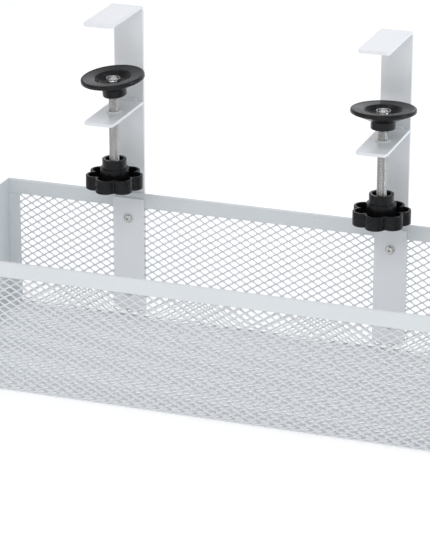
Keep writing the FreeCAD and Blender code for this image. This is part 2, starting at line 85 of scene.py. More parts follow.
def angle(name, description, default):
    return bpy.props.FloatProperty(
        name=name, description=description, default=math.radians(default), subtype="ANGLE"
    )


def colour(name, description, default):
    return bpy.props.FloatVectorProperty(
        name=name, description=description, default=default, size=3, min=0, max=1, subtype="COLOR"
    )


class TrayMeshSizes(bpy.types.PropertyGroup):
    long_way: length("Long way", "Length of one diamond along the tray", 0.010)
    short_way: length("Short way", "Height of one diamond on the walls", 0.00617)
    floor_short_way: length("Floor short way", "Width of one diamond on the floor", 0.0075)
    knuckle_long: length("Knuckle length", "Half length of the joint between strands", 0.0012)
    knuckle_short: length("Knuckle width", "Half width of the joint between strands", 0.00078)
    front_short: length("Front knuckle width", "Half width of that joint on the front wall", 0.0008)
    strand_thick: length("Strand thickness", "Thickness of the coated strands", 0.0008)
    strand_waist: length("Strand waist", "How much a strand narrows halfway, each side", 0.0001)
    strand_round: length("Strand rounding", "Rounding of the strands' edges", 0.00022)
    lean: length("Lean", "Height of a strand's first edge over its middle, below zero the other way", -0.0005)
    front_lean: length("Front lean", "The same for the front wall's strands", 0.0005)
    bend: length("Bend", "Outside radius of the trough's two bottom bends", 0.005)


class EdgeSizes(bpy.types.PropertyGroup):
    sheet: length("Sheet edges", "Rounding of the coated edges of sheet and bars", 0.00035)
    rail: length("Rail edges", "Rounding of the rim rails' edges", 0.0003)
    turned: length("Turned edges", "Rounding of the edges of steel fittings", 0.0002)


class ClampSizes(bpy.types.PropertyGroup):
    pitch: length("Thread pitch", "Rise of the clamp screw's thread in one turn", 0.00125)
    thread_depth: length("Thread depth", "Crest to root of the thread", 0.00072)
    screw_radius: length("Screw radius", "Radius over the thread's crests", 0.00395)
    neck_drop: length("Neck drop", "Ball centre down to the start of the thread", 0.0085)
    neck_radius: length("Neck radius", "Radius of the plain neck below the ball", 0.0026)
    ball_radius: length("Ball radius", "Radius of the ball end", 0.0045)
    left_tilt: angle("Left pad tilt", "Tilt of the left pad at rest", 7)
    right_tilt: angle("Right pad tilt", "Tilt of the right pad at rest", 3)
    left_turn: angle("Left knob turn", "Turn of the left knob at rest", 5.9)
    right_turn: angle("Right knob turn", "Turn of the right knob at rest", 12.4)
    lobes: bpy.props.IntProperty(name="Lobes", description="Lobes on each knob", default=7, min=3)
    lobe_centre: length("Lobe centre", "Knob axis to the centre of a lobe", 0.0146)
    lobe_radius: length("Lobe radius", "Radius of a lobe", 0.0082)
    valley: bpy.props.FloatProperty(
        name="Valley", description="Rounding between two lobes, in radians", default=0.035
    )


class Finishes(bpy.types.PropertyGroup):
    sheet: colour("Sheet coat", "White powder coat of the rails and end caps", (0.705, 0.74, 0.757))
    # The bracket coat is the same white powder coat as the sheet coat, set about 15% lighter: painted light on the
    # brackets, arms, plates, bushes and welds, which sit in the top plates' shade.
    bracket: colour("Bracket coat with painted light", "White powder coat of brackets and plates, lightened as painted light", (0.805, 0.825, 0.845))
    mesh: colour("Mesh coat", "White powder coat of the mesh", (0.73, 0.755, 0.775))
    steel: colour("Plated steel", "Bright zinc plating", (0.62, 0.61, 0.595))
    plastic: colour("Black plastic", "Moulded pads and knobs", (0.005, 0.005, 0.0055))
    floor: colour("Floor", "Plain pale floor", (0.94, 0.94, 0.94))
    floor_glow: bpy.props.FloatProperty(name="Floor glow", description="Light the floor adds", default=0.27)


class StudioSettings(bpy.types.PropertyGroup):
    heading: angle("Heading", "Camera direction, from straight in front towards +X", 19.59)
    elevation: angle("Elevation", "Camera height angle", 20.773)
    distance: length("Distance", "Camera to the point that it looks at", 2.0552)
    target: bpy.props.FloatVectorProperty(
        name="Target", description="Point that the camera looks at", size=3,
        default=(-0.0368, 0.087, 0.0483), precision=5, subtype="TRANSLATION",
    )
    lens: bpy.props.FloatProperty(name="Lens", description="Focal length in mm", default=172.9)
    sky: bpy.props.FloatProperty(name="Sky", description="Strength of the white surround", default=0.47)
    key: bpy.props.FloatProperty(name="Key", description="Power of the overhead soft box, W", default=8.9)
    fill: bpy.props.FloatProperty(name="Fill", description="Power of the front soft box, W", default=12.2)
    side: bpy.props.FloatProperty(name="Side", description="Power of the right upright box, W", default=12)
    left: bpy.props.FloatProperty(name="Left", description="Power of the left upright box, W", default=4)
    rim: bpy.props.FloatProperty(name="Rim", description="Power of the back soft box, W", default=9.2)


class CableTraySettings(bpy.types.PropertyGroup):
    mesh: bpy.props.PointerProperty(type=TrayMeshSizes)
    edges: bpy.props.PointerProperty(type=EdgeSizes)
    clamp: bpy.props.PointerProperty(type=ClampSizes)
    finish: bpy.props.PointerProperty(type=Finishes)
    studio: bpy.props.PointerProperty(type=StudioSettings)


def settings():
    return bpy.context.scene.cable_tray


# --- Meshes -----------------------------------------------------------------------

def mesh_object(name, points, face_sets):
    """Object from points (n, 3) and arrays of faces, each array with its own corner count."""
    mesh = bpy.data.meshes.new(name)
    corners = np.concatenate([faces.ravel() for faces in face_sets])
    counts = np.concatenate([np.full(len(faces), faces.shape[1]) for faces in face_sets])
    starts = np.concatenate([[0], np.cumsum(counts)[:-1]])
    mesh.vertices.add(len(points))
    mesh.vertices.foreach_set("co", np.ascontiguousarray(points, dtype=np.float32).ravel())
    mesh.loops.add(len(corners))
    mesh.loops.foreach_set("vertex_index", corners.astype(np.int32))
    mesh.polygons.add(len(counts))
    mesh.polygons.foreach_set("loop_start", starts.astype(np.int32))
    mesh.update(calc_edges=True)
    piece = bpy.data.objects.new(name, mesh)
    bpy.context.scene.collection.objects.link(piece)
    return piece


def close_up(piece, turn_out=True):
    """Merges points that coincide, so seams and poles are closed, and turns faces outwards."""
    work = bmesh.new()
    work.from_mesh(piece.data)
    bmesh.ops.remove_doubles(work, verts=work.verts, dist=2e-7)
    bmesh.ops.dissolve_degenerate(work, edges=work.edges, dist=1e-7)
    if turn_out:
        bmesh.ops.recalc_face_normals(work, faces=work.faces)
    work.to_mesh(piece.data)
    work.free()
    piece.data.update()


def joined(name, parts):
    """One object from several (points, face sets) pairs."""
    points = []
    face_sets = []
    count = 0
    for part_points, part_faces in parts:
        points.append(part_points)
        face_sets.extend(faces + count for faces in part_faces)
        count += len(part_points)
    return mesh_object(name, np.concatenate(points), face_sets)


def grid_faces(rows, columns, wrap_rows, wrap_columns):
    """Quads of a grid of points numbered row by row, closed on itself where asked."""
    row = np.arange(rows if wrap_rows else rows - 1)[:, None]
    column = np.arange(columns if wrap_columns else columns - 1)[None, :]
    below = row * columns
    above = (row + 1) % rows * columns
    after = (column + 1) % columns
    quads = np.stack([below + column, below + after, above + after, above + column], axis=-1)
    return quads.reshape(-1, 4)


def rounded(corners, steps=4):
    """Profile with each corner (r, z, cut) swapped for a curve that starts and ends a cut away.

    The curve is A (1-s)^2 + 2 C s (1-s) + B s^2, from A on one side of corner C to B on the other.
    """
    corners = np.asarray(corners, dtype=float)
    place = corners[:, :2]
    cut = corners[:, 2:]
    before = np.roll(place, 1, axis=0) - place
    after = np.roll(place, -1, axis=0) - place
    first = place + before / np.maximum(np.linalg.norm(before, axis=1, keepdims=True), 1e-9) * cut
    last = place + after / np.maximum(np.linalg.norm(after, axis=1, keepdims=True), 1e-9) * cut
    s = np.linspace(0, 1, steps + 1)[None, :, None]
    curve = first[:, None] * (1 - s) ** 2 + 2 * place[:, None] * s * (1 - s) + last[:, None] * s ** 2
    return curve.reshape(-1, 2)


def turned(profile, closed, steps=72):
    """Surface of revolution: x = r cos a, y = r sin a, z = h for each profile point (r, h)."""
    around = np.linspace(0, 2 * math.pi, steps, endpoint=False)
    radius = profile[:, 0][:, None]
    points = np.stack(
        [radius * np.cos(around), radius * np.sin(around), np.repeat(profile[:, 1:], steps, axis=1)],
        axis=-1,
    )
    return points.reshape(-1, 3), [grid_faces(len(profile), steps, closed, True)]


def put(points, centre, axis=None, turn=0.0):
    """Points turned about an axis through their own origin by Rodrigues' formula, then moved."""
    if axis is not None:
        unit = np.asarray(axis, dtype=float)
        unit = unit / np.linalg.norm(unit)
        along = (points @ unit)[:, None] * unit
        points = along + (points - along) * math.cos(turn) + np.cross(unit, points) * math.sin(turn)
    return points + np.asarray(centre, dtype=float)


def finish_piece(piece, body, slot, material, *nodes):
    """Shades a piece smooth, gives it its finish and body, and hides the nodes that it stands for."""
    piece.data.shade_smooth()
    piece.data.materials.clear()
    piece.data.materials.append(material)
    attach(piece, body)
    for node in nodes:
        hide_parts(node)
    return piece


def body_of(node):
    return next(body for body, nodes in frame["record"]["behaviour"]["bodies"].items() if node in nodes)


def softened(node, width, slot, material, segments=2):
    """Merged copy of a node with its sharp edges rounded as a coat of paint rounds them."""
    mesh = frame["nodes"][node].data.copy()
    mesh.name = f"soft_{node}"
    work = bmesh.new()
    work.from_mesh(mesh)
    bmesh.ops.remove_doubles(work, verts=work.verts, dist=1e-6)
    bmesh.ops.dissolve_limit(
        work, angle_limit=math.radians(0.5), verts=work.verts, edges=work.edges,
        use_dissolve_boundaries=False,
    )
    work.to_mesh(mesh)
    work.free()
    piece = bpy.data.objects.new(f"soft_{node}", mesh)
    bpy.context.scene.collection.objects.link(piece)
    bevel = piece.modifiers.new("edge rounding", "BEVEL")
    bevel.width = width
    bevel.segments = segments
    bevel.limit_method = "ANGLE"
    bevel.angle_limit = math.radians(35)
    bevel.miter_outer = "MITER_ARC"
    bevel.use_clamp_overlap = True
    weighted = piece.modifiers.new("flat faces stay flat", "WEIGHTED_NORMAL")
    weighted.keep_sharp = True
    return finish_piece(piece, body_of(node), slot, material, node)


# --- Finishes ---------------------------------------------------------------------

def noise(nodes, links, vector, scale, detail=2.0, roughness=0.5):
    texture = nodes.new("ShaderNodeTexNoise")
    texture.inputs["Scale"].default_value = scale
    texture.inputs["Detail"].default_value = detail
    texture.inputs["Roughness"].default_value = roughness
    links.new(vector, texture.inputs["Vector"])
    return texture.outputs["Fac"]


def remap(nodes, links, value, low, high, from_low=0.3, from_high=0.7):
    node = nodes.new("ShaderNodeMapRange")
    node.inputs["From Min"].default_value = from_low
    node.inputs["From Max"].default_value = from_high
    node.inputs["To Min"].default_value = low
    node.inputs["To Max"].default_value = high
    links.new(value, node.inputs["Value"])
    return node.outputs["Result"]


def add(nodes, links, first, second, factor):
    """first + second * factor."""
    node = nodes.new("ShaderNodeMath")
    node.operation = "MULTIPLY_ADD"
    links.new(second, node.inputs[0])
    node.inputs[1].default_value = factor
    links.new(first, node.inputs[2])
    return node.outputs[0]


def surface_group(name, build):
    """Node group with a finish's colour, roughness and height, made once.

    Build takes (nodes, links, place) and returns sockets for height and roughness, and the noise
    whose slow change mixes the finish's two colours.
    """
    if name in bpy.data.node_groups:
        return bpy.data.node_groups[name]
    group = bpy.data.node_groups.new(name, "ShaderNodeTree")
    group.interface.new_socket("Vector", in_out="INPUT", socket_type="NodeSocketVector")
    for colour_name in ("Colour", "Shade"):
        group.interface.new_socket(colour_name, in_out="INPUT", socket_type="NodeSocketColor")
    group.interface.new_socket("Colour", in_out="OUTPUT", socket_type="NodeSocketColor")
    for value_name in ("Roughness", "Height"):
        group.interface.new_socket(value_name, in_out="OUTPUT", socket_type="NodeSocketFloat")
    nodes = group.nodes
    links = group.links
    start = nodes.new("NodeGroupInput")
    end = nodes.new("NodeGroupOutput")
    height, roughness, change = build(nodes, links, start.outputs["Vector"])
    mix = nodes.new("ShaderNodeMix")
    mix.data_type = "RGBA"
    links.new(remap(nodes, links, change, 0, 1), mix.inputs["Factor"])
    links.new(start.outputs["Colour"], mix.inputs["A"])
    links.new(start.outputs["Shade"], mix.inputs["B"])
    links.new(mix.outputs["Result"], end.inputs["Colour"])
    links.new(roughness, end.inputs["Roughness"])
    links.new(height, end.inputs["Height"])
    return group


def powder_surface(nodes, links, place):
    """Powder coat: fine orange peel with a slow drift of gloss and tone."""
    peel = noise(nodes, links, place, 850, detail=2.5, roughness=0.55)
    grain = noise(nodes, links, place, 3200, detail=1)
    drift = noise(nodes, links, place, 14, detail=3, roughness=0.6)
    height = add(nodes, links, peel, grain, 0.25)
    gloss = add(nodes, links, remap(nodes, links, drift, 0.17, 0.24), peel, 0.06)
    return height, gloss, drift


def plastic_surface(nodes, links, place):
    """Moulded plastic: fine spark texture with soft patches of gloss."""
    spark = noise(nodes, links, place, 2600, detail=1.5, roughness=0.6)
    patch = noise(nodes, links, place, 90, detail=3, roughness=0.55)
    height = add(nodes, links, spark, patch, 0.3)
    gloss = add(nodes, links, remap(nodes, links, patch, 0.18, 0.27), spark, 0.05)
    return height, gloss, patch


def zinc_surface(nodes, links, place):
    """Zinc plating: fine lathe lines across the axis, with cloudy gloss."""
    stretch = nodes.new("ShaderNodeMapping")
    stretch.inputs["Scale"].default_value = (1, 1, 9)
    links.new(place, stretch.inputs["Vector"])
    lines = noise(nodes, links, stretch.outputs["Vector"], 700, detail=2)
    cloud = noise(nodes, links, place, 260, detail=3, roughness=0.6)
    height = add(nodes, links, lines, cloud, 0.4)
    gloss = add(nodes, links, remap(nodes, links, cloud, 0.10, 0.18), lines, 0.06)
    return height, gloss, cloud


def surface_material(name, group, tint, shade, bump, distance, metallic=0.0, specular=0.5):
    """Material whose group gives colour, roughness and height on the piece's own coordinates."""
    if name in bpy.data.materials:
        return bpy.data.materials[name]
    material = bpy.data.materials.new(name)
    material.use_nodes = True
    nodes = material.node_tree.nodes
    links = material.node_tree.links
    shader = nodes["Principled BSDF"]
    place = nodes.new("ShaderNodeTexCoord")
    effect = nodes.new("ShaderNodeGroup")
    effect.node_tree = group
    effect.inputs["Colour"].default_value = (*tint, 1)
    effect.inputs["Shade"].default_value = (*(value * shade for value in tint), 1)
    links.new(place.outputs["Object"], effect.inputs["Vector"])
    relief = nodes.new("ShaderNodeBump")
    relief.inputs["Strength"].default_value = bump
    relief.inputs["Distance"].default_value = distance
    links.new(effect.outputs["Height"], relief.inputs["Height"])
    links.new(effect.outputs["Colour"], shader.inputs["Base Color"])
    links.new(effect.outputs["Roughness"], shader.inputs["Roughness"])
    links.new(relief.outputs["Normal"], shader.inputs["Normal"])
    shader.inputs["Metallic"].default_value = metallic
    shader.inputs["Specular IOR Level"].default_value = specular
    return material


def powder_coat(name, tint, shade=0.985, bump=0.22):
    group = surface_group("powder coat surface", powder_surface)
    return surface_material(name, group, tint, shade, bump, 0.00006)


def sheet_coat():
    return powder_coat("white sheet coat", settings().finish.sheet)


# Lighter copy of the sheet's white powder coat: painted light on the brackets and the parts fixed to them.
def bracket_coat_painted_light():
    return powder_coat("white bracket coat with painted light", settings().finish.bracket)


def mesh_coat():
    return powder_coat("white mesh coat", settings().finish.mesh, 0.98, 0.25)


def plated_steel():
    group = surface_group("zinc plating surface", zinc_surface)
    tint = settings().finish.steel
    return surface_material("bright zinc plating", group, tint, 0.9, 0.3, 0.00003, metallic=1.0)


def black_plastic():
    group = surface_group("moulded plastic surface", plastic_surface)
    tint = settings().finish.plastic
    return surface_material("black moulded plastic", group, tint, 1.5, 0.35, 0.00004, specular=0.26)


# --- The tray ---------------------------------------------------------------------

def along_trough(across, path, height, box, bend, half_thick):
    """Lays a flat sheet round the trough: down the front, along the floor, up the back.

    The travel direction turns by a(s) + b(s), each the arc length past a bend's start over the
    bend's middle radius, kept between 0 and a right angle. Height stands outwards from the sheet.
    """
    low, high = box
    radius = bend - half_thick
    wall = high.z - bend
    floor = (high.y - low.y) - 2 * bend
    quarter = radius * math.pi / 2
    first = np.clip((path - wall) / radius, 0, math.pi / 2)
    second = np.clip((path - wall - quarter - floor) / radius, 0, math.pi / 2)
    y = low.y + half_thick + radius * (1 - np.cos(first)) + radius * np.sin(second)
    y = y + np.clip(path - wall - quarter, 0, floor)
    z = high.z - np.clip(path, 0, wall) - radius * np.sin(first) + radius * (1 - np.cos(second))
    z = z + np.clip(path - wall - 2 * quarter - floor, 0, None)
    lean = first + second
    y = y - np.cos(lean) * height
    z = z - np.sin(lean) * height
    return np.stack([across, y, z], axis=-1)


def strand_section(upper, lower, upper_height, lower_height, size):
    """Six points round a strand at one place, as (x, s, height): two edges and four face corners."""
    edge = np.asarray(lower, dtype=float) - np.asarray(upper, dtype=float)
    width = np.linalg.norm(edge)
    inset = edge / width * size.strand_round
    rise = (lower_height - upper_height) / width * size.strand_round
    half = size.strand_thick / 2
    above = np.asarray(upper, dtype=float)
    below = np.asarray(lower, dtype=float)
    return np.array([
        (*above, upper_height),
        (*(above + inset), upper_height + rise + half),
        (*(below - inset), lower_height - rise + half),
        (*below, lower_height),
        (*(below - inset), lower_height - rise - half),
        (*(above + inset), upper_height + rise - half),
    ])


def strand_shapes(half_long, half_short, short_tip, lean, size):
    """Two strands that leave a knuckle towards +X, one to a larger and one to a smaller s.

    A strand's first edge stands higher than its second by the lean, so its flat side is tilted.
    """
    long_tip = size.knuckle_long
    shapes = []
    for way in (1, -1):
        if way == 1:
            start_upper, start_lower = (0, short_tip), (long_tip, 0)
            end_upper, end_lower = (half_long - long_tip, half_short), (half_long, half_short - short_tip)
            start_high, start_low, end_high, end_low = lean, 0, 0, -lean
        else:
            start_upper, start_lower = (long_tip, 0), (0, -short_tip)
            end_upper, end_lower = (half_long, -half_short + short_tip), (half_long - long_tip, -half_short)
            start_high, start_low, end_high, end_low = 0, -lean, lean, 0
        first = strand_section(start_upper, start_lower, start_high, start_low, size)
        last = strand_section(end_upper, end_lower, end_high, end_low, size)
        middle_upper = (np.array(start_upper) + np.array(end_upper)) / 2
        middle_lower = (np.array(start_lower) + np.array(end_lower)) / 2
        inward = (middle_lower - middle_upper) / np.linalg.norm(middle_lower - middle_upper)
        middle = strand_section(
            middle_upper + inward * size.strand_waist, middle_lower - inward * size.strand_waist,
            (start_high + end_high) / 2, (start_low + end_low) / 2, size,
        )
        shapes.append(np.concatenate([first, middle, last]))
    return shapes


def expanded_sheet(name, span, short_way, short_tip, lean, columns, size, box):
    """Strip of an expanded-metal sheet, between two places along the trough's path.

    Knuckle (i, j) stands at x = i L / 2, s = start + j S / 2 for i + j even. Each is a leaning
    diamond with tips half a knuckle away, and each strand joins two knuckles' facing sides. A
    section of a strand is a flat hexagon, and strands narrow halfway.
    """
    start, end = span
    rows = 2 * round((end - start) / short_way)
    half_long = (box[1].x - box[0].x) / columns
    half_short = (end - start) / rows
    column, row = np.meshgrid(np.arange(columns + 1), np.arange(rows + 1), indexing="ij")
    keep = (column + row) % 2 == 0
    column = column[keep]
    row = row[keep]
    home = np.stack(
        [box[0].x + column * half_long, start + row * half_short, np.zeros(len(row))], axis=-1
    )

    rising, falling = strand_shapes(half_long, half_short, short_tip, lean, size)
    back = np.array([half_long, half_short, 0])
    # The four sides of a knuckle, each the end section of the strand that meets it there.
    sides = {
        "rising_out": rising[:6],
        "falling_out": falling[:6],
        "rising_in": rising[12:] - back,
        "falling_in": falling[12:] - back * (1, -1, 0),
    }
    reaches = {
        "rising_out": (column < columns) & (row < rows),
        "falling_out": (column < columns) & (row > 0),
        "rising_in": (column > 0) & (row > 0),
        "falling_in": (column > 0) & (row < rows),
    }
    tube = np.concatenate([
        np.array([[k, (k + 1) % 6, (k + 1) % 6 + 6, k + 6] for k in range(6)]) + 6 * step
        for step in range(2)
    ])
    # Knuckle points: the sections of its four sides in turn round it, 24 in all.
    ring = np.concatenate(
        [sides[side] for side in ("rising_out", "falling_in", "rising_in", "falling_out")]
    )
    parts = []

    def add_part(homes, shape, faces):
        count = len(shape)
        points = (homes[:, None, :] + shape[None]).reshape(-1, 3)
        numbers = np.arange(len(homes))[:, None, None] * count
        parts.append((points, [(faces[None] + numbers).reshape(-1, faces.shape[1])]))

    add_part(home[reaches["rising_out"]], rising, tube)
    add_part(home[reaches["falling_out"]], falling, tube)
    add_part(home, ring, knuckle_quads(ring))
    add_part(home, ring, knuckle_triangles(ring))
    for side, shape in sides.items():
        add_part(home[~reaches[side]], shape, np.array([[0, 1, 2, 3], [0, 3, 4, 5]]))
    return joined(name, [(lay_round(points, box, size), faces) for points, faces in parts])


def half_thickness(size):
    return size.strand_thick / 2 + max(abs(size.lean), abs(size.front_lean))


def lay_round(points, box, size):
    across = np.clip(points[:, 0], box[0].x, box[1].x)
    return along_trough(across, points[:, 1], points[:, 2], box, size.bend, half_thickness(size))


def by_direction(ring, numbers):
    """Point numbers sorted counter-clockwise round the knuckle, seen from its top."""
    spots = ring[numbers]
    order = np.argsort(np.arctan2(spots[:, 1], spots[:, 0]))
    return [numbers[k] for k in order]


def knuckle_corners(ring):
    """Numbers of the eight top corners, the eight bottom corners and the four tips."""
    offsets = [0, 6, 12, 18]
    top = by_direction(ring, [base + k for base in offsets for k in (1, 2)])
    bottom = by_direction(ring, [base + k for base in offsets for k in (5, 4)])
    tips = by_direction(ring, [base + k for base in offsets for k in (0, 3)])
    return top, bottom, tips


def knuckle_quads(ring):
    """Top and bottom of a knuckle: each face of eight corners as three quads."""
    top, bottom, tips = knuckle_corners(ring)
    faces = []
    for corners, flip in ((top, False), (bottom, True)):
        for picks in ((0, 1, 2, 3), (0, 3, 4, 7), (4, 5, 6, 7)):
            quad = [corners[k] for k in picks]
            faces.append(quad[::-1] if flip else quad)
    return np.array(faces)


def knuckle_triangles(ring):
    """Small faces at the four tips, between a tip and the two nearest corners above or below."""
    top, bottom, tips = knuckle_corners(ring)
    faces = []
    for tip in tips[::2]:
        spot = ring[tip, :2]
        for corners, flip in ((top, False), (bottom, True)):
            gaps = [np.linalg.norm(ring[k, :2] - spot) for k in corners]
            near = [corners[k] for k in np.argsort(gaps)[:2]]
            face = [tip, *by_turn(ring, spot, near)]
            faces.append(face[::-1] if flip else face)
    return np.array(faces)


def by_turn(ring, spot, pair):
    first, second = ring[pair[0], :2] - spot, ring[pair[1], :2] - spot
    return pair if first[0] * second[1] - first[1] * second[0] > 0 else pair[::-1]


class TRAY_OT_mesh(bpy.types.Operator):
    """Expanded-metal trough in three strips: front wall, floor and back wall"""
    bl_idname = "cable_tray.mesh"
    bl_label = "Mesh Trough"

    def execute(self, context):
        size = settings().mesh
        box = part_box("mesh_trough")
        columns = 2 * round((box[1].x - box[0].x) / size.long_way)
        front_end = box[1].z - size.bend + math.pi / 2 * (size.bend - half_thickness(size))
        back_start = front_end + box[1].y - box[0].y - 2 * size.bend
        end = back_start + front_end
        strips = (
            ("mesh_front", (0, front_end), size.short_way, size.front_short, size.front_lean),
            ("mesh_floor", (front_end, back_start), size.floor_short_way, size.knuckle_short, size.lean),
            ("mesh_back", (back_start, end), size.short_way, size.knuckle_short, size.lean),
        )
        for name, span, short_way, short_tip, lean in strips:
            piece = expanded_sheet(name, span, short_way, short_tip, lean, columns, size, box)
            close_up(piece)
            finish_piece(piece, "root", "white_mesh", mesh_coat(), "mesh_trough")
        return {"FINISHED"}


class TRAY_OT_rails(bpy.types.Operator):
    """Folded rim rails along the front and the back"""
    bl_idname = "cable_tray.rails"
    bl_label = "Rim Rails"

    def execute(self, context):
        for node in ("front_rim_rail", "back_rim_rail"):
            softened(node, settings().edges.rail, "white_powder_coat", sheet_coat())
        return {"FINISHED"}


class TRAY_OT_end_caps(bpy.types.Operator):
    """Flat sheet ends with their flanges"""
    bl_idname = "cable_tray.end_caps"
    bl_label = "End Caps"

    def execute(self, context):
        for side in SIDES:
            softened(f"{side}_end_cap", settings().edges.sheet, "white_powder_coat", sheet_coat())
        return {"FINISHED"}


# --- The brackets -----------------------------------------------------------------

class TRAY_OT_brackets(bpy.types.Operator):
    """Flat-bar brackets, lower arms, threaded bushes and the plates inside the back wall"""
    bl_idname = "cable_tray.brackets"
    bl_label = "Brackets"

    def execute(self, context):
        edges = settings().edges
        for side in SIDES:
            # Brackets, arms, plates and bushes take the lighter copy of the powder coat, as painted light.
            for node in ("bracket", "lower_arm", "inner_plate"):
                softened(f"{side}_{node}", edges.sheet, "white_powder_coat", bracket_coat_painted_light())
            softened(f"{side}_threaded_bush", edges.turned, "white_powder_coat", bracket_coat_painted_light())
        return {"FINISHED"}


def weld_bead(low, high, ripples=9, columns=108, rows=14):
    """Rippled fillet weld in a corner, along X from low to high.

    At place t along the bead, its cross-section is a quarter round of radius
    r(t) = leg taper(t) (0.68 + 0.18 swell(t) + 0.12 |sin(pi n t)| + wander(t)), never over leg.
    taper falls to nothing at both ends as sqrt(1 - u^2) over about a tenth of the bead, swell is
    one bump near the last end, and wander is two slow waves. The n ripples bow across the round.
    """
    leg = high.z - low.z
    t = np.linspace(0, 1, columns)[:, None]
    turn = np.linspace(0, math.pi / 2, rows)[None, :]
    taper = np.sqrt(np.clip(1 - np.clip(1 - t / 0.09, 0, 1) ** 2, 0, 1))
    taper = taper * np.sqrt(np.clip(1 - np.clip(1 - (1 - t) / 0.1, 0, 1) ** 2, 0, 1))
    swell = np.exp(-((t - 0.9) / 0.1) ** 2)
    wave = np.abs(np.sin(math.pi * ripples * (t + 0.03 * np.cos(2 * turn))))
    wander = 0.05 * np.sin(17 * t + 1.3) + 0.04 * np.sin(41 * t)
    radius = leg * taper * (0.68 + 0.18 * swell + 0.12 * wave + wander)
    radius = np.minimum(radius, leg)
    x = low.x + (high.x - low.x) * t + 0 * turn
    y = high.y - radius * np.cos(turn)
    z = low.z + radius * np.sin(turn)
    skin = np.stack([x, y, z], axis=-1)
    root = np.stack([x[:, :1], np.full((columns, 1), high.y), np.full((columns, 1), low.z)], axis=-1)
    points = np.concatenate([skin, root], axis=1)
    return points.reshape(-1, 3), [grid_faces(columns, rows + 1, False, True)]


class TRAY_OT_welds(bpy.types.Operator):
    """Rippled weld beads between the lower arms and the brackets"""
    bl_idname = "cable_tray.welds"
    bl_label = "Welds"

    def execute(self, context):
        for side in SIDES:
            low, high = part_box(f"{side}_weld")
            piece = joined(f"{side}_weld_bead", [weld_bead(low, high)])
            close_up(piece)
            # The weld beads take the lighter copy of the powder coat, as painted light.
            finish_piece(piece, "root", "white_powder_coat", bracket_coat_painted_light(), f"{side}_weld")
        return {"FINISHED"}


class TRAY_OT_fasteners(bpy.types.Operator):
    """Button-head bolts and their nuts"""
    bl_idname = "cable_tray.fasteners"
    bl_label = "Bolts and Nuts"

    def execute(self, context):
        for node in ("bracket_bolts", "bracket_nuts"):
            softened(node, settings().edges.turned, "plated_steel", plated_steel())
        return {"FINISHED"}


# --- The clamps -------------------------------------------------------------------

def threaded_rod(foot, top, size, columns=40, steps=8):
    """Right-hand thread whose rows of points follow its helix.

    Row m lies at z = foot + (m / steps - 1 + a / 2 pi) pitch, and its radius depends only on the
    row's place in the pitch: root, flank, crest, flank. Points past either end sit on the end's
    core circle, and both ends are closed by a cone to the axis.
    """
    turns = math.ceil((top - foot) / size.pitch) + 2
    row = np.arange(turns * steps)[:, None]
    around = np.linspace(0, 2 * math.pi, columns + 1)[None, :]
    z = foot + (row / steps - 1 + around / (2 * math.pi)) * size.pitch
    peak = 1 - np.abs(2 * ((row % steps) / steps) - 1)
    rise = np.clip((peak - 0.12) / 0.7, 0, 1)
    rise = rise * rise * (3 - 2 * rise)
    core = size.screw_radius - size.thread_depth
    chamfer = np.clip(np.minimum(z - foot, top - z) / (size.pitch * 0.8), 0, 1)
    radius = core + size.thread_depth * rise * chamfer
    radius = np.where((z < foot) | (z > top), core, radius)
    z = np.clip(z, foot, top)
    points = np.stack([radius * np.cos(around), radius * np.sin(around), z], axis=-1)
    ends = np.zeros((1, columns + 1, 3))
    points = np.concatenate([ends + (0, 0, foot), points, ends + (0, 0, top)], axis=0)
    return points.reshape(-1, 3), [grid_faces(len(points), columns + 1, False, False)]


def neck_and_ball(size, steps=24):
    """Plain neck with a ball on top: a profile of a cylinder and an arc r = R sin u, z = R cos u."""
    radius = size.ball_radius
    u = np.linspace(math.pi - math.asin(size.neck_radius / radius), 0, steps)
    arc = np.stack([radius * np.sin(u), radius * np.cos(u)], axis=-1)
    foot = -size.neck_drop - 0.0004
    shank = np.array([(0, foot), (size.neck_radius, foot), (size.neck_radius, foot + 0.0004)])
    return turned(np.concatenate([shank, arc]), False, 48)


class TRAY_OT_screws(bpy.types.Operator):
    """Threaded clamp screws with their ball ends, and the loose rings around the balls"""
    bl_idname = "cable_tray.screws"
    bl_label = "Clamp Screws"

    def execute(self, context):
        size = settings().clamp
        for side in SIDES:
            pivot = PIVOTS[f"{side}_screw_turn"]
            low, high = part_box(f"{side}_clamp_screw")
            rod, rod_faces = threaded_rod(low.z - pivot.z, -size.neck_drop, size)
            ball, ball_faces = neck_and_ball(size)
            piece = joined(
                f"{side}_screw", [(put(rod, pivot), rod_faces), (put(ball, pivot), ball_faces)]
            )
            close_up(piece)
            finish_piece(piece, f"{side}_turning", "plated_steel", plated_steel(), f"{side}_clamp_screw")
            low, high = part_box(f"{side}_retaining_ring")
            wire = (high.z - low.z) / 2
            around = np.linspace(0, 2 * math.pi, 16, endpoint=False)
            middle = (high.x - low.x) / 2 - wire - 0.0002
            profile = np.stack([middle + wire * np.cos(around), wire + wire * np.sin(around)], axis=-1)
            points, faces = turned(profile, True, 64)
            piece = joined(f"{side}_ring", [(put(points, (pivot.x, pivot.y, low.z)), faces)])
            close_up(piece)
            finish_piece(
                piece, f"{side}_carrier", "plated_steel", plated_steel(), f"{side}_retaining_ring"
            )
        return {"FINISHED"}


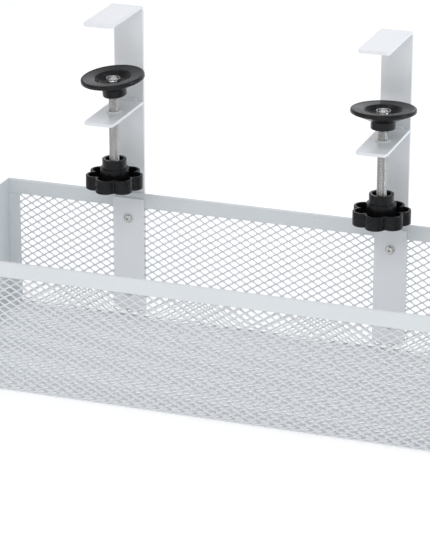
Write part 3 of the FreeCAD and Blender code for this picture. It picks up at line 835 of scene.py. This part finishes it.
def pad_profile():
    """Half section of a pad about its ball's centre, as (r, z, rounding) in metres, closed."""
    mm = 0.001
    corners = [
        (7.3, -10.7, 0.3), (9.5, -10.7, 1.0), (9.5, -4.6, 0.5), (12.5, -3.2, 1.2), (23.4, 1.6, 0.8),
        (24.2, 1.9, 0.2), (24.2, 2.3, 0.12), (25.0, 2.35, 0.25), (25.0, 5.3, 1.5), (22.6, 5.3, 0.6),
        (22.2, 5.05, 0.3), (14.6, 4.3, 0.8), (11.2, 0.6, 0.9), (5.8, 0.6, 0.3), (5.8, 1.2, 0.25),
        (4.45, 1.2, 0.1), (4.6, 0.0, 0.4), (4.3, -1.6, 0.4), (3.7, -2.9, 0.2), (3.65, -3.4, 0.1),
    ]
    return rounded(np.array(corners) * mm, 5)


class TRAY_OT_pads(bpy.types.Operator):
    """Dished clamping pads that tilt on the screws' balls"""
    bl_idname = "cable_tray.pads"
    bl_label = "Pads"

    def execute(self, context):
        size = settings().clamp
        for side, tilt in (("left", size.left_tilt), ("right", size.right_tilt)):
            joint = f"{side}_pad_tilt"
            points, faces = turned(pad_profile(), True, 128)
            points = put(points, PIVOTS[joint], AXES[joint], tilt)
            piece = joined(f"{side}_clamp_pad", [(points, faces)])
            close_up(piece)
            finish_piece(piece, f"{side}_swivel", "black_plastic", black_plastic(), f"{side}_pad")
        return {"FINISHED"}


def lobed_radius(around, inset, size):
    """Outline of a lobed knob: the farthest point, in each direction, of circles round the axis.

    With d the angle from the nearest lobe, r = C cos d + sqrt((R - inset)^2 - C^2 sin^2 d). Near
    a valley the distance w to it is swapped for sqrt(w^2 + e^2), which rounds the valley.
    """
    half = math.pi / size.lobes
    away = np.abs((around + half) % (2 * half) - half)
    to_valley = np.sqrt((half - away) ** 2 + size.valley ** 2)
    d = np.clip(half - to_valley, 0, half) * (1 + size.valley)
    d = np.where(away < half * 0.3, away, d)
    d = np.minimum(np.maximum(d, 0), away)
    root = (size.lobe_radius - inset) ** 2 - (size.lobe_centre * np.sin(d)) ** 2
    return size.lobe_centre * np.cos(d) + np.sqrt(np.maximum(root, 0))


def knob_points(size, columns=280):
    """Lobed wall, hollow top, step and open collar as one closed surface.

    Rows of the wall are (inset from the outline, height) and take their radius from lobed_radius.
    The others are (radius, height) and are round. Every row is x = r cos a, y = r sin a, z = h.
    """
    mm = 0.001
    lobed = rounded(np.array([
        (3.2, 0.0, 0.0), (0, 0, 0.9), (0, 11.2, 0.7), (2, 11.2, 0.7), (2, 2.6, 0.6), (3.4, 2.6, 0.0),
    ]) * mm, 5)
    round_rows = rounded(np.array([
        (12.6, 2.6, 0.0), (11.3, 2.6, 0.5), (11.3, 16.2, 0.5), (9.6, 16.2, 0.25), (9.6, 23.4, 0.6),
        (7, 23.4, 0.5), (7, 8.4, 0.2), (0, 8.4, 0.0),
    ]) * mm, 5)
    around = np.linspace(0, 2 * math.pi, columns, endpoint=False)[None, :]
    radius = np.concatenate([
        np.zeros((1, columns)),
        lobed_radius(around, lobed[:, :1], size),
        np.repeat(round_rows[:, :1], columns, axis=1),
    ])
    height = np.concatenate([[[0]], lobed[:, 1:], round_rows[:, 1:]])
    points = np.stack(
        [radius * np.cos(around), radius * np.sin(around), np.repeat(height, columns, axis=1)], axis=-1
    )
    return points.reshape(-1, 3), [grid_faces(len(points), columns, False, True)]


class TRAY_OT_knobs(bpy.types.Operator):
    """Lobed hand knobs with their steel inserts"""
    bl_idname = "cable_tray.knobs"
    bl_label = "Knobs"

    def execute(self, context):
        size = settings().clamp
        for side, turn in (("left", size.left_turn), ("right", size.right_turn)):
            pivot = PIVOTS[f"{side}_screw_turn"]
            low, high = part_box(f"{side}_knob")
            points, faces = knob_points(size)
            points = put(points, (pivot.x, pivot.y, low.z), (0, 0, 1), turn)
            piece = joined(f"{side}_hand_knob", [(points, faces)])
            close_up(piece)
            finish_piece(piece, f"{side}_turning", "black_plastic", black_plastic(), f"{side}_knob")
            softened(f"{side}_knob_insert", settings().edges.turned, "plated_steel", plated_steel())
        return {"FINISHED"}


# --- The studio -------------------------------------------------------------------

def soft_box(name, centre, target, width, height, power, tint=(1, 1, 1)):
    light = bpy.data.lights.new(name, "AREA")
    light.shape = "RECTANGLE"
    light.size = width
    light.size_y = height
    light.energy = power
    light.color = tint
    lamp = bpy.data.objects.new(name, light)
    bpy.context.scene.collection.objects.link(lamp)
    lamp.location = centre
    lamp.rotation_euler = (Vector(target) - Vector(centre)).to_track_quat("-Z", "Y").to_euler()
    return lamp


def make_camera(studio):
    view = bpy.data.cameras.new("camera")
    view.lens = studio.lens
    view.sensor_width = 36
    view.clip_end = 50
    camera = bpy.data.objects.new("camera", view)
    bpy.context.scene.collection.objects.link(camera)
    level = math.cos(studio.elevation)
    way = Vector((
        math.sin(studio.heading) * level, -math.cos(studio.heading) * level, math.sin(studio.elevation)
    ))
    camera.location = Vector(studio.target) + way * studio.distance
    camera.rotation_euler = way.to_track_quat("Z", "Y").to_euler()
    bpy.context.scene.camera = camera


def make_floor(finish):
    """Wide plain floor just under the tray, bright enough to lose its edges."""
    side = 12.0
    points = np.array([(-side, -side, 0), (side, -side, 0), (side, side, 0), (-side, side, 0)])
    floor = mesh_object("floor", points + (0, 0, CAD_BOX[0][2] - 0.0002), [np.array([[0, 1, 2, 3]])])
    material = bpy.data.materials.new("pale floor")
    material.use_nodes = True
    nodes = material.node_tree.nodes
    links = material.node_tree.links
    shader = nodes["Principled BSDF"]
    shader.inputs["Roughness"].default_value = 0.9
    shader.inputs["Specular IOR Level"].default_value = 0.1
    shader.inputs["Emission Strength"].default_value = finish.floor_glow
    shader.inputs["Emission Color"].default_value = (1, 1, 1, 1)
    place = nodes.new("ShaderNodeTexCoord")
    cloud = noise(nodes, links, place.outputs["Object"], 1.5, detail=2)
    mix = nodes.new("ShaderNodeMix")
    mix.data_type = "RGBA"
    mix.inputs["A"].default_value = (*finish.floor, 1)
    mix.inputs["B"].default_value = (*(value * 0.99 for value in finish.floor), 1)
    links.new(cloud, mix.inputs["Factor"])
    links.new(mix.outputs["Result"], shader.inputs["Base Color"])
    floor.data.materials.append(material)


class TRAY_OT_studio(bpy.types.Operator):
    """Pale floor, soft light and the camera"""
    bl_idname = "cable_tray.studio"
    bl_label = "Studio"

    def execute(self, context):
        studio = settings().studio
        make_camera(studio)
        make_floor(settings().finish)
        world = bpy.data.worlds.new("white surround")
        world.use_nodes = True
        world.node_tree.nodes["Background"].inputs["Color"].default_value = (1, 1, 1, 1)
        world.node_tree.nodes["Background"].inputs["Strength"].default_value = studio.sky
        context.scene.world = world
        context.scene.view_settings.view_transform = "Standard"
        soft_box("overhead", (0, 0, 1.9), (0, 0, 0.1), 1.8, 1.4, studio.key, (0.90, 0.87, 1.0))
        soft_box("front", (0.35, -1.85, 1.6), (0, 0, 0.1), 1.4, 1.0, studio.fill)
        soft_box("right", (2.3, 0.16, 0.7), (0, 0, 0.15), 0.6, 1.0, studio.side, (0.72, 0.95, 1.0))
        soft_box("left", (-1.3, -1.85, 0.7), (0, 0, 0.15), 0.3, 1.2, studio.left)
        soft_box("back", (0.16, 2.2, 1.12), (0, 0, 0.15), 2.6, 1.2, studio.rim, (0.93, 0.95, 1.0))
        return {"FINISHED"}


# --- Panel and running ------------------------------------------------------------

class TRAY_PT_panel(bpy.types.Panel):
    """Buttons and sizes of the cable tray"""
    bl_idname = "TRAY_PT_panel"
    bl_label = "Cable Tray"
    bl_space_type = "VIEW_3D"
    bl_region_type = "UI"
    bl_category = "Cable Tray"

    def draw(self, context):
        layout = self.layout
        for operator in OPERATORS:
            layout.operator(operator.bl_idname)
        for group in ("mesh", "edges", "clamp", "finish", "studio"):
            box = layout.box()
            box.label(text=group.capitalize())
            values = getattr(settings(), group)
            for name in values.bl_rna.properties.keys():
                if name not in ("rna_type", "name"):
                    box.prop(values, name)


OPERATORS = (
    TRAY_OT_studio, TRAY_OT_mesh, TRAY_OT_rails, TRAY_OT_end_caps, TRAY_OT_brackets, TRAY_OT_welds,
    TRAY_OT_fasteners, TRAY_OT_screws, TRAY_OT_pads, TRAY_OT_knobs,
)
CLASSES = (
    TrayMeshSizes, EdgeSizes, ClampSizes, Finishes, StudioSettings, CableTraySettings,
    *OPERATORS, TRAY_PT_panel,
)


def register():
    for item in CLASSES:
        bpy.utils.register_class(item)
    bpy.types.Scene.cable_tray = bpy.props.PointerProperty(type=CableTraySettings)


def unregister():
    del bpy.types.Scene.cable_tray
    for item in reversed(CLASSES):
        bpy.utils.unregister_class(item)


def main():
    register()
    for operator in OPERATORS:
        group, name = operator.bl_idname.split(".")
        getattr(getattr(bpy.ops, group), name)()


if __name__ == "__main__":
    main()
